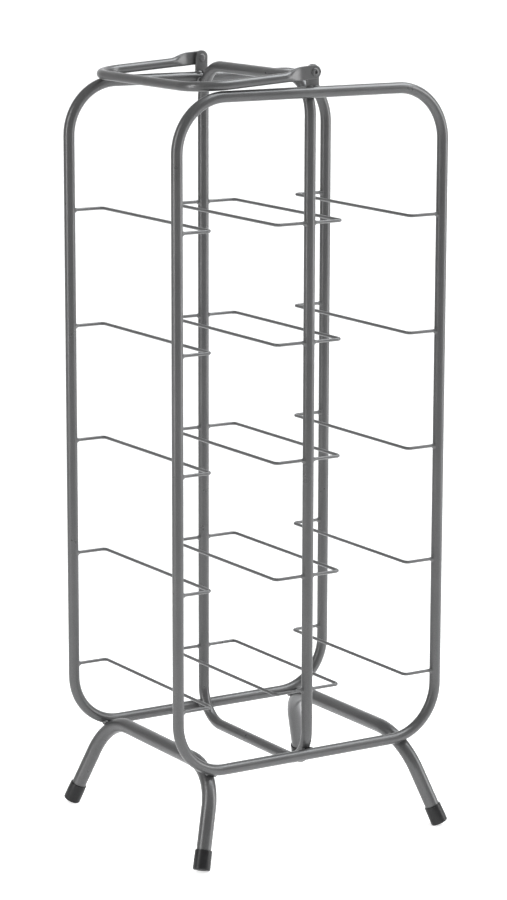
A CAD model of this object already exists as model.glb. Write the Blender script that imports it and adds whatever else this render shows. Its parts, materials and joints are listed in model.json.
"""The looks of a wine bottle rack: lacquered tube frames, shelf wires, legs, caps and handle.

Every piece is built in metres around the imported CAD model, from the boxes of its nodes.
"""

import json
import math

import bmesh
import bpy
from mathutils import Matrix, Vector, noise


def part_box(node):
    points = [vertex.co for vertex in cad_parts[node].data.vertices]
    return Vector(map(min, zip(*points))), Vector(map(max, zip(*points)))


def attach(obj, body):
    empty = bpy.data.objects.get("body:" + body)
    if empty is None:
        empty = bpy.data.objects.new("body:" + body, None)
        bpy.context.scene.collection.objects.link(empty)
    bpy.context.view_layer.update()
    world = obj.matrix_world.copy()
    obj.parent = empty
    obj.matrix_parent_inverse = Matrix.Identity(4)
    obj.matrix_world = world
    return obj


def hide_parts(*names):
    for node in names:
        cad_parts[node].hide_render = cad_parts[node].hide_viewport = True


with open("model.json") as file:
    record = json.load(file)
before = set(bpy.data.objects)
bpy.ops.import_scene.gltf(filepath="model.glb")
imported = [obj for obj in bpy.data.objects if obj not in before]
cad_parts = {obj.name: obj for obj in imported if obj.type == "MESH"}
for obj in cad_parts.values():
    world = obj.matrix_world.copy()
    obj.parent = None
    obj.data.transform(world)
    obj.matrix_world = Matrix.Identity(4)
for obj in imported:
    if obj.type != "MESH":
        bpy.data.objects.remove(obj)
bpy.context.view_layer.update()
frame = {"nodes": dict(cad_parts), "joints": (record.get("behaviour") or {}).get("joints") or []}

MM = 0.001
LEFT, RIGHT, FRONT, BACK = -1, 1, -1, 1
SIDE_NAMES = {LEFT: "left", RIGHT: "right"}
END_NAMES = {FRONT: "front", BACK: "back"}
RACK, HANDLE = "rack", "handle"

# Sizes that the boxes of the nodes don't give
TUBE_R = 4.75 * MM
LEG_R = 6.35 * MM
WIRE_R = 1.4 * MM
HANDLE_R = 4 * MM
FRAME_BEND = 45 * MM
CENTRE_BEND = 30 * MM
WIRE_BEND = 4 * MM
LEG_BEND = 44.6 * MM
LEG_CORNER = 89 * MM
LEG_X = 95.5 * MM
LEG_RISE = 2 * MM
LEG_LEAN = math.radians(18.5)
LEG_SPLAY = math.atan2(7, 24)
HANDLE_BEND = 30 * MM
HANDLE_REACH = 110 * MM
CAP_R = 7.5 * MM
CAP_BORE_R = 6.4 * MM
CAP_LENGTH = 17 * MM
CAP_FLOOR = 3 * MM
CAP_FLAT = 1 * MM  # how far the cap's rim would reach under the floor, where it is cut flat
CAP_HOLLOW_R = 4.1 * MM
CAP_HOLLOW_H = 0.5 * MM
WIRE_INTO_POST = 1 * MM
WELD_OFF_CENTRE = 3.9 * MM

RAIL_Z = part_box("front_frame")[0].z + TUBE_R
TOP_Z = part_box("front_frame")[1].z - TUBE_R
FRAME_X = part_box("front_frame")[1].x - TUBE_R
FRAME_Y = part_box("back_frame")[1].y - TUBE_R
CENTRE_LOW_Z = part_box("centre_frame")[0].z + TUBE_R
CENTRE_TOP_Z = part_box("centre_frame")[1].z - TUBE_R
CENTRE_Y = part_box("centre_frame")[1].y - TUBE_R
PIVOT = Vector(frame["joints"][0]["pos_m"])
BACKDROP_YAW = math.radians(32)
ROWS = sum(name.startswith("left_wire_") for name in frame["nodes"])


# ---------------------------------------------------------------- camera and light

def make_camera():
    """The photograph's view: a long lens from the front left, a little above."""
    data = bpy.data.cameras.new("view_camera")
    camera = bpy.data.objects.new("view_camera", data)
    bpy.context.scene.collection.objects.link(camera)
    bpy.context.scene.camera = camera
    yaw, pitch, roll = math.radians(32.18), math.radians(11.85), math.radians(0.19)
    distance = 2.69905
    target = Vector((0.01374, 0, RAIL_Z + 0.22875))
    ahead = Vector((
        math.sin(yaw) * math.cos(pitch),
        math.cos(yaw) * math.cos(pitch),
        -math.sin(pitch),
    ))
    right = ahead.cross(Vector((0, 0, 1))).normalized()
    up = right.cross(ahead)
    rolled_right = math.cos(roll) * right + math.sin(roll) * up
    rolled_up = math.cos(roll) * up - math.sin(roll) * right
    turn = Matrix((rolled_right, rolled_up, -ahead)).transposed()
    camera.matrix_world = Matrix.Translation(target - distance * ahead) @ turn.to_4x4()
    data.sensor_width = 36
    data.lens = 124.56
    data.shift_x = -0.0160
    data.shift_y = 0.0244
    data.clip_start = 0.1
    data.clip_end = 50


def make_area_light(name, place, aim, size, watts):
    data = bpy.data.lights.new(name, "AREA")
    data.shape = "RECTANGLE"
    data.size, data.size_y = size
    data.energy = watts
    lamp = bpy.data.objects.new(name, data)
    bpy.context.scene.collection.objects.link(lamp)
    lamp.location = place
    lamp.rotation_euler = (Vector(aim) - Vector(place)).to_track_quat("-Z", "Y").to_euler()
    return lamp


def make_world():
    world = bpy.data.worlds.new("studio")
    bpy.context.scene.world = world
    world.use_nodes = True
    back = world.node_tree.nodes["Background"]
    back.inputs["Color"].default_value = (1, 1, 1, 1)
    back.inputs["Strength"].default_value = 0.5


def make_studio():
    make_world()
    middle = (0, 0, 0.35)
    make_area_light("light_left", (-2.0, 0.0, 0.9), middle, (0.5, 2.0), 22)
    make_area_light("light_right", (1.9, -1.25, 0.9), middle, (0.8, 2.0), 30)
    top = make_area_light("light_top", (1.05, -0.35, 2.3), (0.8, -0.35, 0), (1.5, 1.8), 56)
    top.data.color = (0.95, 0.98, 1.0)


def make_floor():
    """A wide pale sheet, square to the view, that curves up behind the rack."""
    bm = bmesh.new()
    depth, rise, bend, width = 2.2, 2.6, 0.9, 9.0
    outline = [(-width, 0.0), (depth - bend, 0.0)]
    steps = 16
    for k in range(1, steps + 1):
        a = math.pi / 2 * k / steps
        outline.append((depth - bend + bend * math.sin(a), bend - bend * math.cos(a)))
    outline.append((depth, rise))
    rows = [[bm.verts.new((x, y, z)) for x in (-width, width)] for y, z in outline]
    for low, high in zip(rows, rows[1:]):
        bm.faces.new((low[0], low[1], high[1], high[0]))
    floor = finish_mesh("floor_sheet", bm)
    if floor.data.polygons[0].normal.z < 0:
        floor.data.flip_normals()
    floor.data.transform(Matrix.Rotation(-BACKDROP_YAW, 4, "Z"))
    floor.data.materials.append(make_floor_material())


# ---------------------------------------------------------------- materials

def new_material(name):
    material = bpy.data.materials.new(name)
    material.use_nodes = True
    nodes = material.node_tree.nodes
    return material, nodes, material.node_tree.links, nodes["Principled BSDF"]


def object_coords(nodes, links):
    """Object coordinates, moved so that no noise creases at zero inside the rack."""
    coords = nodes.new("ShaderNodeTexCoord")
    moved = nodes.new("ShaderNodeVectorMath")
    moved.operation = "ADD"
    moved.inputs[1].default_value = (0.31, 0.33, 0.11)
    links.new(coords.outputs["Object"], moved.inputs[0])
    return moved


def noise_node(nodes, links, coords, scale, detail, roughness=0.5):
    node = nodes.new("ShaderNodeTexNoise")
    node.inputs["Scale"].default_value = scale
    node.inputs["Detail"].default_value = detail
    node.inputs["Roughness"].default_value = roughness
    links.new(coords.outputs["Vector"], node.inputs["Vector"])
    return node


def ramp_node(nodes, links, source, stops):
    node = nodes.new("ShaderNodeValToRGB")
    while len(node.color_ramp.elements) < len(stops):
        node.color_ramp.elements.new(0.5)
    for element, (position, value) in zip(node.color_ramp.elements, stops):
        element.position = position
        element.color = (*value, 1) if hasattr(value, "__len__") else (value, value, value, 1)
    links.new(source, node.inputs["Fac"])
    return node


def bump_node(nodes, links, height, distance, strength, below=None):
    node = nodes.new("ShaderNodeBump")
    node.inputs["Distance"].default_value = distance
    node.inputs["Strength"].default_value = strength
    links.new(height, node.inputs["Height"])
    if below is not None:
        links.new(below.outputs["Normal"], node.inputs["Normal"])
    return node


def make_lacquer(name, light, peel, wear):
    """Dark grey satin lacquer: faint clouding, specks, orange peel, and lighter worn edges."""
    material, nodes, links, shader = new_material(name)
    coords = object_coords(nodes, links)
    clouds = noise_node(nodes, links, coords, 14, 3)
    specks = noise_node(nodes, links, coords, 2600, 2)
    dark, pale = 0.083 * light, 0.102 * light
    tone = ramp_node(nodes, links, clouds.outputs["Fac"], [
        (0.3, (dark, dark, dark * 1.01)),
        (0.7, (pale, pale, pale * 1.01)),
    ])
    spots = ramp_node(nodes, links, specks.outputs["Fac"], [(0.38, 0.86), (0.62, 1.12)])
    speckled = nodes.new("ShaderNodeMixRGB")
    speckled.blend_type = "MULTIPLY"
    speckled.inputs["Fac"].default_value = 1
    links.new(tone.outputs["Color"], speckled.inputs["Color1"])
    links.new(spots.outputs["Color"], speckled.inputs["Color2"])
    edge = nodes.new("ShaderNodeNewGeometry")
    edges = ramp_node(nodes, links, edge.outputs["Pointiness"], [(0.53, 0.0), (0.60, wear)])
    worn = nodes.new("ShaderNodeMixRGB")
    links.new(edges.outputs["Color"], worn.inputs["Fac"])
    links.new(speckled.outputs["Color"], worn.inputs["Color1"])
    worn.inputs["Color2"].default_value = (0.3, 0.3, 0.3, 1)
    links.new(worn.outputs["Color"], shader.inputs["Base Color"])
    smears = noise_node(nodes, links, coords, 55, 4, 0.6)
    gloss = ramp_node(nodes, links, smears.outputs["Fac"], [(0.3, 0.27), (0.7, 0.36)])
    links.new(gloss.outputs["Color"], shader.inputs["Roughness"])
    skin = noise_node(nodes, links, coords, 650, 2)
    waves = noise_node(nodes, links, coords, 120, 1)
    fine = bump_node(nodes, links, skin.outputs["Fac"], 0.05 * MM, peel)
    wide = bump_node(nodes, links, waves.outputs["Fac"], 0.1 * MM, 0.3, fine)
    links.new(wide.outputs["Normal"], shader.inputs["Normal"])
    shader.inputs["Metallic"].default_value = 0.5
    shader.inputs["Specular IOR Level"].default_value = 0.5
    return material


def make_rubber():
    """Black moulded rubber: a slight bloom, a matte grain and dust caught near the floor."""
    material, nodes, links, shader = new_material("cap_rubber")
    coords = object_coords(nodes, links)
    bloom = noise_node(nodes, links, coords, 70, 4, 0.6)
    tone = ramp_node(nodes, links, bloom.outputs["Fac"], [
        (0.35, (0.006, 0.006, 0.0065)),
        (0.75, (0.011, 0.011, 0.0115)),
    ])
    links.new(tone.outputs["Color"], shader.inputs["Base Color"])
    gloss = ramp_node(nodes, links, bloom.outputs["Fac"], [(0.3, 0.3), (0.7, 0.42)])
    links.new(gloss.outputs["Color"], shader.inputs["Roughness"])
    grain = noise_node(nodes, links, coords, 1800, 3)
    bump = bump_node(nodes, links, grain.outputs["Fac"], 0.04 * MM, 0.6)
    links.new(bump.outputs["Normal"], shader.inputs["Normal"])
    shader.inputs["Specular IOR Level"].default_value = 0.3
    return material


def make_floor_material():
    """White paper, lit a little from below round the rack, and clear from behind."""
    material, nodes, links, shader = new_material("floor_paper")
    coords = object_coords(nodes, links)
    fibres = noise_node(nodes, links, coords, 40, 5)
    tone = ramp_node(nodes, links, fibres.outputs["Fac"], [(0.3, 0.86), (0.7, 0.88)])
    links.new(tone.outputs["Color"], shader.inputs["Base Color"])
    shader.inputs["Roughness"].default_value = 0.9
    shader.inputs["Emission Color"].default_value = (1, 1, 1, 1)
    distance = nodes.new("ShaderNodeVectorMath")
    distance.operation = "LENGTH"
    links.new(coords.outputs["Vector"], distance.inputs[0])
    glow = nodes.new("ShaderNodeMapRange")
    glow.interpolation_type = "SMOOTHSTEP"
    for name, value in (("From Min", 0.2), ("From Max", 1.3), ("To Min", 0.7), ("To Max", 0.1)):
        glow.inputs[name].default_value = value
    links.new(distance.outputs["Value"], glow.inputs["Value"])
    links.new(glow.outputs["Result"], shader.inputs["Emission Strength"])
    geometry = nodes.new("ShaderNodeNewGeometry")
    clear = nodes.new("ShaderNodeBsdfTransparent")
    one_sided = nodes.new("ShaderNodeMixShader")
    links.new(geometry.outputs["Backfacing"], one_sided.inputs["Fac"])
    links.new(shader.outputs["BSDF"], one_sided.inputs[1])
    links.new(clear.outputs["BSDF"], one_sided.inputs[2])
    links.new(one_sided.outputs["Shader"], nodes["Material Output"].inputs["Surface"])
    return material


# ---------------------------------------------------------------- mesh building

def finish_mesh(name, bm):
    """Makes a smooth-shaded object from a bmesh, with its normals facing out."""
    bmesh.ops.recalc_face_normals(bm, faces=bm.faces)
    mesh = bpy.data.meshes.new(name)
    bm.to_mesh(mesh)
    bm.free()
    for face in mesh.polygons:
        face.use_smooth = True
    piece = bpy.data.objects.new(name, mesh)
    bpy.context.scene.collection.objects.link(piece)
    return piece


def place(piece, material, slot, body, *nodes):
    piece.data.materials.append(material)
    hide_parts(*nodes)
    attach(piece, body)
    return piece


def auto_smooth(piece, degrees=35):
    """Keeps edges sharper than the angle crisp, and shades the rest smooth."""
    bm = bmesh.new()
    bm.from_mesh(piece.data)
    limit = math.radians(degrees)
    for edge in bm.edges:
        edge.smooth = len(edge.link_faces) < 2 or edge.calc_face_angle(0) < limit
    bm.to_mesh(piece.data)
    bm.free()


def filleted(corners, bend, closed, steps=24):
    """Rounds a planar path's corners with arcs of one radius."""
    count = len(corners)
    points = []
    for k, corner in enumerate(corners):
        if not closed and k in (0, count - 1):
            points.append(corner.copy())
            continue
        back = (corners[k - 1] - corner).normalized()
        ahead = (corners[(k + 1) % count] - corner).normalized()
        half = back.angle(ahead) / 2
        reach = bend / math.tan(half)
        centre = corner + (back + ahead).normalized() * bend / math.sin(half)
        first, last = corner + back * reach - centre, corner + ahead * reach - centre
        turn = first.angle(last)
        for j in range(steps + 1):
            t = j / steps
            mix = math.sin((1 - t) * turn) * first + math.sin(t * turn) * last
            points.append(centre + mix / math.sin(turn))
    return points


def spaced(points, longest, closed):
    """Adds points to a path so that no gap is longer than `longest`."""
    out = []
    following = points[1:] + points[:1] if closed else points[1:]
    for a, b in zip(points, following):
        count = max(1, math.ceil((b - a).length / longest))
        out.extend(a.lerp(b, k / count) for k in range(count))
    if not closed:
        out.append(points[-1])
    return out


def sweep(bm, points, plane_normal, closed, section, sides):
    """Skins a tube round a planar path.

    section(k, angle) gives a point of ring k: its offsets across the path and along the normal.
    """
    rings = []
    count = len(points)
    for k, point in enumerate(points):
        before = points[k - 1] if closed or k else point
        after = points[(k + 1) % count] if closed or k < count - 1 else point
        tangent = (after - before).normalized()
        across = tangent.cross(plane_normal).normalized()
        ring = []
        for j in range(sides):
            u, v = section(k, 2 * math.pi * j / sides)
            ring.append(bm.verts.new(point + u * across + v * plane_normal))
        rings.append(ring)
    pairs = list(zip(rings, rings[1:]))
    if closed:
        pairs.append((rings[-1], rings[0]))
    for a, b in pairs:
        for j in range(sides):
            n = (j + 1) % sides
            bm.faces.new((a[j], a[n], b[n], b[j]))
    if not closed:
        bm.faces.new(list(reversed(rings[0])))
        bm.faces.new(rings[-1])
    return rings


def round_section(radius):
    """A tube's round section."""
    return lambda k, a: (radius * math.cos(a), radius * math.sin(a))


def lathe(bm, profile, place_matrix, sides=64):
    """Spins (radius, height) points about Z, and places the result."""
    rings = []
    for r, h in profile:
        if r < 1e-7:
            rings.append([bm.verts.new(place_matrix @ Vector((0, 0, h)))])
            continue
        ring = []
        for j in range(sides):
            a = 2 * math.pi * j / sides
            spot = Vector((r * math.cos(a), r * math.sin(a), h))
            ring.append(bm.verts.new(place_matrix @ spot))
        rings.append(ring)
    for a, b in zip(rings, rings[1:]):
        for j in range(sides):
            n = (j + 1) % sides
            quad = [a[j % len(a)], a[n % len(a)], b[n % len(b)], b[j % len(b)]]
            bm.faces.new(list(dict.fromkeys(quad)))


def rounded_profile(points, steps=5):
    """Rounds the marked corners of a lathe profile. Each point is (radius, height, rounding)."""
    out = []
    for k, (r, h, rounding) in enumerate(points):
        corner = Vector((r, h))
        if not rounding or k in (0, len(points) - 1):
            out.append((r, h))
            continue
        before = Vector(points[k - 1][:2])
        after = Vector(points[k + 1][:2])
        a = corner + (before - corner).normalized() * rounding
        b = corner + (after - corner).normalized() * rounding
        for j in range(steps + 1):
            t = j / steps
            p = (1 - t) ** 2 * a + 2 * t * (1 - t) * corner + t ** 2 * b
            out.append((p.x, p.y))
    return out


def nugget(bm, centre, axes, seed):
    """A bead of weld metal: an uneven blob with faint ripples along its first axis."""
    shift = Vector((seed * 7.31, seed * 3.17, seed * 1.73))
    for vert in bmesh.ops.create_icosphere(bm, subdivisions=4, radius=1)["verts"]:
        unit = vert.co.copy()
        lump = noise.noise(unit * 1.3 + shift) * 0.14 + noise.noise(unit * 3.1 + shift) * 0.05
        ripple = 0.025 * math.sin(unit.x * 9 + seed)
        swell = 1 + lump + ripple
        vert.co = centre + swell * (unit.x * axes[0] + unit.y * axes[1] + unit.z * axes[2])


# ---------------------------------------------------------------- frames and legs

def loop_corners(half, low, high, along, offset):
    """The corners of an upright rectangle, 2 * half wide along the unit vector `along`."""
    up = Vector((0, 0, 1))
    return [
        offset + along * half + up * low,
        offset + along * half + up * high,
        offset - along * half + up * high,
        offset - along * half + up * low,
    ]


def make_frame(name, half, low, high, bend, along, offset, material):
    points = filleted(loop_corners(half, low, high, along, offset), bend, True, 28)
    points = spaced(points, 40 * MM, True)
    bm = bmesh.new()
    sweep(bm, points, along.cross(Vector((0, 0, 1))), True, round_section(TUBE_R), 48)
    return place(finish_mesh(name + "_tube", bm), material, "lacquer", RACK, name)


def make_frames(material):
    x_axis, y_axis = Vector((1, 0, 0)), Vector((0, 1, 0))
    for end in (FRONT, BACK):
        make_frame(END_NAMES[end] + "_frame", FRAME_X, RAIL_Z, TOP_Z, FRAME_BEND,
                   x_axis, end * FRAME_Y * y_axis, material)
    make_frame("centre_frame", CENTRE_Y, CENTRE_LOW_Z, CENTRE_TOP_Z, CENTRE_BEND,
               y_axis, Vector((0, 0, 0)), material)


def leg_plane(side):
    """The matrix of a leg tube's plane: Y along its cross bar and -Z down its legs."""
    turn = Matrix.Rotation(-side * LEG_LEAN, 4, "Y")
    return Matrix.Translation((side * LEG_X, 0, RAIL_Z + LEG_RISE)) @ turn


def foot_drop():
    """How far down a leg tube's plane the bottom of its cap lies, from the cross bar's line."""
    tilt = math.acos(math.cos(LEG_LEAN) * math.cos(LEG_SPLAY))
    drop = RAIL_Z + LEG_RISE + CAP_FLAT - CAP_R * math.sin(tilt)
    return drop / math.cos(LEG_LEAN)


def foot_point(end, drop):
    """The point of a leg's centre line at this depth in its plane."""
    bar = LEG_CORNER - LEG_BEND * math.tan((math.pi / 2 - LEG_SPLAY) / 2)
    y = bar + LEG_BEND * math.cos(LEG_SPLAY)
    z = -LEG_BEND + LEG_BEND * math.sin(LEG_SPLAY)
    run = (drop + z) * math.tan(LEG_SPLAY)
    return Vector((0, end * (y + run), -drop))


def make_legs(material):
    for side in (LEFT, RIGHT):
        plane = leg_plane(side)
        drop = foot_drop() - CAP_FLOOR * math.cos(LEG_SPLAY)
        corners = [foot_point(FRONT, drop), Vector((0, -LEG_CORNER, 0)),
                   Vector((0, LEG_CORNER, 0)), foot_point(BACK, drop)]
        points = [plane @ p for p in filleted(corners, LEG_BEND, False, 32)]
        points = spaced(points, 30 * MM, False)
        normal = (plane.to_3x3() @ Vector((1, 0, 0))).normalized()
        bm = bmesh.new()
        sweep(bm, points, normal, False, round_section(LEG_R), 56)
        name = SIDE_NAMES[side] + "_leg"
        piece = finish_mesh(name + "_tube", bm)
        auto_smooth(piece, 60)
        place(piece, material, "lacquer", RACK, name)


def make_caps(material):
    profile = rounded_profile([
        (0, CAP_FLOOR, 0),
        (CAP_BORE_R, CAP_FLOOR, 0.3 * MM),
        (CAP_BORE_R, CAP_LENGTH, 0.25 * MM),
        (CAP_R - 0.2 * MM, CAP_LENGTH, 0.5 * MM),
        (CAP_R, CAP_LENGTH * 0.55, 2 * MM),
        (CAP_R, 0, 1.6 * MM),
        (CAP_HOLLOW_R, 0, 0.5 * MM),
        (CAP_HOLLOW_R - 0.5 * MM, CAP_HOLLOW_H, 0.4 * MM),
        (0, CAP_HOLLOW_H, 0),
    ])
    for side in (LEFT, RIGHT):
        for end in (FRONT, BACK):
            plane = leg_plane(side)
            bottom = plane @ foot_point(end, foot_drop())
            above = plane @ foot_point(end, foot_drop() - CAP_LENGTH)
            turn = (above - bottom).to_track_quat("Z", "Y").to_matrix().to_4x4()
            bm = bmesh.new()
            lathe(bm, profile, Matrix.Translation(bottom) @ turn)
            everything = bm.verts[:] + bm.edges[:] + bm.faces[:]
            cut = bmesh.ops.bisect_plane(bm, geom=everything, plane_co=(0, 0, 0),
                                         plane_no=(0, 0, -1), clear_outer=True)
            rim = [e for e in cut["geom_cut"] if isinstance(e, bmesh.types.BMEdge)]
            bmesh.ops.holes_fill(bm, edges=rim, sides=0)
            name = f"foot_cap_{END_NAMES[end]}_{SIDE_NAMES[side]}"
            piece = finish_mesh(name + "_moulding", bm)
            auto_smooth(piece, 40)
            place(piece, material, "rubber", RACK, name)


# ---------------------------------------------------------------- shelf wires and welds

def wire_sets():
    """Each column of wires: its name, its posts' place, the side it stands out to, its reach."""
    sets = []
    for name, post_x, post_y, side in (
        ("left_wire", -FRAME_X, FRAME_Y, RIGHT),
        ("inner_left_wire", 0, CENTRE_Y, LEFT),
        ("inner_right_wire", 0, CENTRE_Y, RIGHT),
        ("right_wire", FRAME_X, FRAME_Y, LEFT),
    ):
        low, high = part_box(name + "_1")
        far = high.x if side == RIGHT else low.x
        sets.append((name, post_x, post_y, side, abs(far - post_x) - WIRE_R))
    return sets


def make_wires(material):
    for column, post_x, post_y, side, reach in wire_sets():
        for row in range(1, ROWS + 1):
            name = f"{column}_{row}"
            low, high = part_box(name)
            z = (low.z + high.z) / 2
            near = post_x + side * (TUBE_R - WIRE_INTO_POST)
            far = post_x + side * reach
            corners = [Vector((near, -post_y, z)), Vector((far, -post_y, z)),
                       Vector((far, post_y, z)), Vector((near, post_y, z))]
            points = spaced(filleted(corners, WIRE_BEND, False, 12), 20 * MM, False)
            bm = bmesh.new()
            sweep(bm, points, Vector((0, 0, 1)), False, round_section(WIRE_R), 28)
            piece = finish_mesh(name + "_rod", bm)
            auto_smooth(piece, 60)
            place(piece, material, "lacquer", RACK, name)


def wire_fillet(bm, post, side, z, seed):
    """The small flared bead where a wire's end meets its post, heavier underneath."""
    sides, rings, length = 28, 9, 2.6 * MM
    foot = 2.8 * MM
    sag = 0.7 * MM
    rows = []
    for k in range(rings):
        t = k / (rings - 1)
        ring = []
        for j in range(sides):
            a = 2 * math.pi * j / sides
            wobble = noise.noise(Vector((math.cos(a), math.sin(a), seed * 1.7 + t))) * 0.7 * MM
            base = foot + wobble * (1 - t)
            r = WIRE_R * 0.98 + (base - WIRE_R * 0.98) * (1 - t) ** 1.6
            y, dz = r * math.cos(a), r * math.sin(a)
            hug = math.sqrt(max(TUBE_R ** 2 - (base * math.cos(a)) ** 2, 0)) - 0.35 * MM
            x = hug * (1 - t) + (TUBE_R + length) * t
            droop = sag * (1 - t) ** 2
            ring.append(bm.verts.new((post.x + side * x, post.y + y, z + dz - droop)))
        rows.append(ring)
    for a, b in zip(rows, rows[1:]):
        for j in range(sides):
            n = (j + 1) % sides
            bm.faces.new((a[j], a[n], b[n], b[j]))
    bm.faces.new(rows[0])
    bm.faces.new(rows[-1])


def make_wire_welds(material):
    bm = bmesh.new()
    seed = 0
    for column, post_x, post_y, side, _ in wire_sets():
        for row in range(1, ROWS + 1):
            low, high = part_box(f"{column}_{row}")
            for end in (FRONT, BACK):
                seed += 1
                post = Vector((post_x, end * post_y, 0))
                wire_fillet(bm, post, side, (low.z + high.z) / 2, seed)
    piece = finish_mesh("wire_weld_beads", bm)
    auto_smooth(piece, 70)
    place(piece, material, "lacquer", RACK, "wire_welds")


def make_frame_welds(material):
    """Two beads at each crossing of a rail and the centre frame's bend."""
    bm = bmesh.new()
    bend_y = CENTRE_Y - CENTRE_BEND
    seed = 20
    for end in (FRONT, BACK):
        for rail_z, bend_z in (
            (RAIL_Z, CENTRE_LOW_Z + CENTRE_BEND), (TOP_Z, CENTRE_TOP_Z - CENTRE_BEND),
        ):
            rail = Vector((0, end * FRAME_Y, rail_z))
            centre = Vector((0, end * bend_y, bend_z))
            out = (rail - centre).normalized()
            touch = centre + out * (CENTRE_BEND + TUBE_R)
            lengthwise = out.cross(Vector((1, 0, 0)))
            for side in (LEFT, RIGHT):
                seed += 1
                middle = touch + Vector((side * WELD_OFF_CENTRE, 0, 0))
                axes = (Vector((2.2 * MM, 0, 0)), 2.6 * MM * lengthwise, 1.6 * MM * out)
                nugget(bm, middle, axes, seed)
    place(finish_mesh("frame_weld_beads", bm), material, "lacquer", RACK, "frame_welds")


def make_leg_welds(material):
    """Two beads at each crossing of a rail and a leg's bend, along the rail."""
    bm = bmesh.new()
    bar = LEG_CORNER - LEG_BEND * math.tan((math.pi / 2 - LEG_SPLAY) / 2)
    past = LEG_X - FRAME_X + FRAME_BEND
    lift = FRAME_BEND - math.sqrt(FRAME_BEND ** 2 - past ** 2)
    rail_drop = (LEG_RISE - lift) / math.cos(LEG_LEAN)
    seed = 40
    for side in (LEFT, RIGHT):
        plane = leg_plane(side)
        for end in (FRONT, BACK):
            centre = Vector((0, end * bar, -LEG_BEND))
            out = (Vector((0, end * FRAME_Y, -rail_drop)) - centre).normalized()
            touch = centre + out * (LEG_BEND + LEG_R)
            lengthwise = out.cross(Vector((1, 0, 0)))
            for along in (-1, 1):
                seed += 1
                middle = plane @ (touch + Vector((along * WELD_OFF_CENTRE, 0, 0)))
                turn = plane.to_3x3()
                axes = (turn @ Vector((2.5 * MM, 0, 0)), turn @ lengthwise * 2.8 * MM,
                        turn @ out * 1.9 * MM)
                nugget(bm, middle, axes, seed)
    place(finish_mesh("leg_weld_beads", bm), material, "lacquer", RACK, "leg_welds")


# ---------------------------------------------------------------- handle and brackets

BRACKET_LOW, BRACKET_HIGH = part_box("back_bracket")
BRACKET_T = BRACKET_HIGH.y - BRACKET_LOW.y
BRACKET_R = (BRACKET_HIGH.x - BRACKET_LOW.x) / 2
BRACKET_Y = (BRACKET_HIGH.y + BRACKET_LOW.y) / 2
BRACKET_ROUND_Z = BRACKET_HIGH.z - BRACKET_R
BRACKET_FOOT_Z = TOP_Z + 3.2 * MM
BRACKET_STEPS = 40
RIVET_SHANK_R = 2.25 * MM
RIVET_HOLE_R = 1.2 * MM
FLAT_T = 2.5 * MM
FLAT_H = 5.7 * MM
FLAT_END = 12 * MM
ROUND_START = 30 * MM
ARM_DROP = FLAT_H - HANDLE_R
ARM_Y = (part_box("handle")[1].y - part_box("handle")[0].y) / 2 - HANDLE_R
FOLD_SLOPE = math.radians(3.751)


def smoothstep(t):
    t = min(max(t, 0), 1)
    return t * t * (3 - 2 * t)


def squircle(a, half_u, half_v, power):
    """A point at this angle of a superellipse: power 2 is an ellipse, and more is squarer."""
    c, s = math.cos(a), math.sin(a)
    u = half_u * math.copysign(abs(c) ** (2 / power), c)
    v = half_v * math.copysign(abs(s) ** (2 / power), s)
    return u, v


def flat_section(behind):
    """The handle's end at this distance behind the pivot.

    Gives its half thickness, half height, rise and squareness.
    """
    if behind < 0:
        t = min(-behind / FLAT_H, 1)
        height = FLAT_H * math.sqrt(max(1 - t * t, 0.0004))
        return FLAT_T / 2, height, ARM_DROP, 7
    t = smoothstep((behind - FLAT_END) / (ROUND_START - FLAT_END))
    thick = FLAT_T / 2 + (HANDLE_R - FLAT_T / 2) * t
    height = FLAT_H + (HANDLE_R - FLAT_H) * t
    return thick, height, ARM_DROP * (1 - t), 7 - 5 * smoothstep(t * 1.15)


def make_handle(material):
    turn = Matrix.Rotation(-FOLD_SLOPE, 4, "Y")
    local = Matrix.Translation(PIVOT) @ turn
    start = -ROUND_START - 6 * MM
    corners = [Vector((x, side * ARM_Y, -ARM_DROP)) for x, side in (
        (start, FRONT), (-HANDLE_REACH, FRONT), (-HANDLE_REACH, BACK), (start, BACK),
    )]
    middle = spaced(filleted(corners, HANDLE_BEND, False, 28), 20 * MM, False)
    nose_steps, tail_steps = 14, 30
    nose = [FLAT_H * math.sin(math.pi / 2 * k / nose_steps) for k in range(nose_steps, 0, -1)]
    tail = [-ROUND_START * k / tail_steps for k in range(tail_steps + 1)]
    stations = nose + tail
    front = [Vector((x, -ARM_Y, -ARM_DROP)) for x in stations]
    back = [Vector((x, ARM_Y, -ARM_DROP)) for x in reversed(stations)]
    path = front + middle + back

    def section(k, a):
        behind = -path[k].x
        if behind < ROUND_START:
            half_u, half_v, rise, power = flat_section(behind)
            u, v = squircle(a, half_u, half_v, power)
            return u, v + rise
        return HANDLE_R * math.cos(a), HANDLE_R * math.sin(a)

    bm = bmesh.new()
    points = [local @ p for p in path]
    normal = (turn.to_3x3() @ Vector((0, 0, 1))).normalized()
    sweep(bm, points, normal, False, section, 64)
    piece = finish_mesh("handle_bail", bm)
    auto_smooth(piece, 50)
    place(piece, material, "lacquer", HANDLE, "handle")


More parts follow.
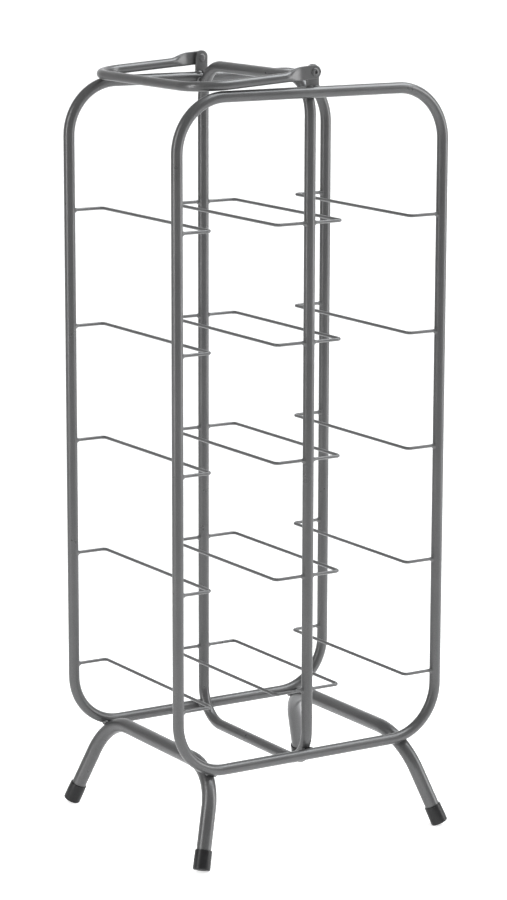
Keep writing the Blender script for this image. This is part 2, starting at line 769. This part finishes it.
def make_brackets(material):
    for end in (FRONT, BACK):
        name = END_NAMES[end] + "_bracket"
        bm = bmesh.new()
        outline = [(-BRACKET_R, BRACKET_FOOT_Z), (BRACKET_R, BRACKET_FOOT_Z)]
        for k in range(BRACKET_STEPS + 1):
            a = math.pi * k / BRACKET_STEPS
            outline.append((BRACKET_R * math.cos(a), BRACKET_ROUND_Z + BRACKET_R * math.sin(a)))
        y = end * BRACKET_Y
        face = bm.faces.new([bm.verts.new((x, y - BRACKET_T / 2, z)) for x, z in outline])
        pushed = bmesh.ops.extrude_face_region(bm, geom=[face])["geom"]
        moved = [v for v in pushed if isinstance(v, bmesh.types.BMVert)]
        bmesh.ops.translate(bm, verts=moved, vec=(0, BRACKET_T, 0))
        rims = [e for e in bm.edges if abs(e.verts[0].co.y - e.verts[1].co.y) < 1e-6]
        bmesh.ops.bevel(bm, geom=rims, offset=0.35 * MM, segments=3, profile=0.6,
                        affect="EDGES")
        piece = finish_mesh(name + "_plate", bm)
        auto_smooth(piece, 35)
        place(piece, material, "lacquer", RACK, name)


def make_rivets(material):
    low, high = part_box("back_rivet")
    head_r = (high.x - low.x) / 2
    start, stop = low.y - (BRACKET_Y - BRACKET_T / 2), high.y - (BRACKET_Y - BRACKET_T / 2)
    head_h = -start
    grip = stop - head_h
    profile = rounded_profile([
        (0, start, 0),
        (head_r * 0.55, start, 0.5 * MM),
        (head_r * 0.93, start + head_h * 0.45, 0.5 * MM),
        (head_r, 0, 0.15 * MM),
        (RIVET_SHANK_R, 0, 0),
        (RIVET_SHANK_R, grip, 0),
        (head_r, grip, 0.15 * MM),
        (head_r * 0.97, grip + head_h * 0.5, 0.5 * MM),
        (head_r * 0.68, stop, 0.6 * MM),
        (RIVET_HOLE_R + 0.25 * MM, stop - 0.05 * MM, 0.45 * MM),
        (RIVET_HOLE_R, grip - 0.2 * MM, 0.3 * MM),
        (0, grip - 0.35 * MM, 0),
    ])
    for end in (FRONT, BACK):
        turn = Vector((0, end, 0)).to_track_quat("Z", "Y").to_matrix().to_4x4()
        base = Vector((0, end * (BRACKET_Y - BRACKET_T / 2), PIVOT.z))
        bm = bmesh.new()
        lathe(bm, profile, Matrix.Translation(base) @ turn)
        name = END_NAMES[end] + "_rivet"
        piece = finish_mesh(name + "_pin", bm)
        auto_smooth(piece, 50)
        place(piece, material, "lacquer", RACK, name)


def make_bracket_welds(material):
    """Short runs of weld along both faces of each bracket's foot."""
    bm = bmesh.new()
    seed = 60
    for end in (FRONT, BACK):
        for face in (-1, 1):
            for side in (LEFT, RIGHT):
                seed += 1
                middle = Vector((
                    side * BRACKET_R * 0.5,
                    end * BRACKET_Y + face * (BRACKET_T / 2 + 0.25 * MM),
                    TOP_Z + TUBE_R - 0.45 * MM,
                ))
                axes = (Vector((2.6 * MM, 0, 0)), Vector((0, 1.35 * MM, 0)),
                        Vector((0, 0, 1.25 * MM)))
                nugget(bm, middle, axes, seed)
    place(finish_mesh("bracket_weld_beads", bm), material, "lacquer", RACK, "bracket_welds")


make_camera()
make_studio()
make_floor()
lacquer = make_lacquer("lacquer_tube", 1.0, 0.35, 0.25)
weld_lacquer = make_lacquer("lacquer_weld", 1.15, 0.6, 0.35)
make_frames(lacquer)
make_legs(lacquer)
make_caps(make_rubber())
make_wires(make_lacquer("lacquer_wire", 1.15, 0.35, 0.25))
make_handle(lacquer)
make_brackets(lacquer)
make_rivets(lacquer)
make_wire_welds(weld_lacquer)
make_frame_welds(weld_lacquer)
make_leg_welds(weld_lacquer)
make_bracket_welds(weld_lacquer)

bpy.context.scene.view_settings.view_transform = "Standard"
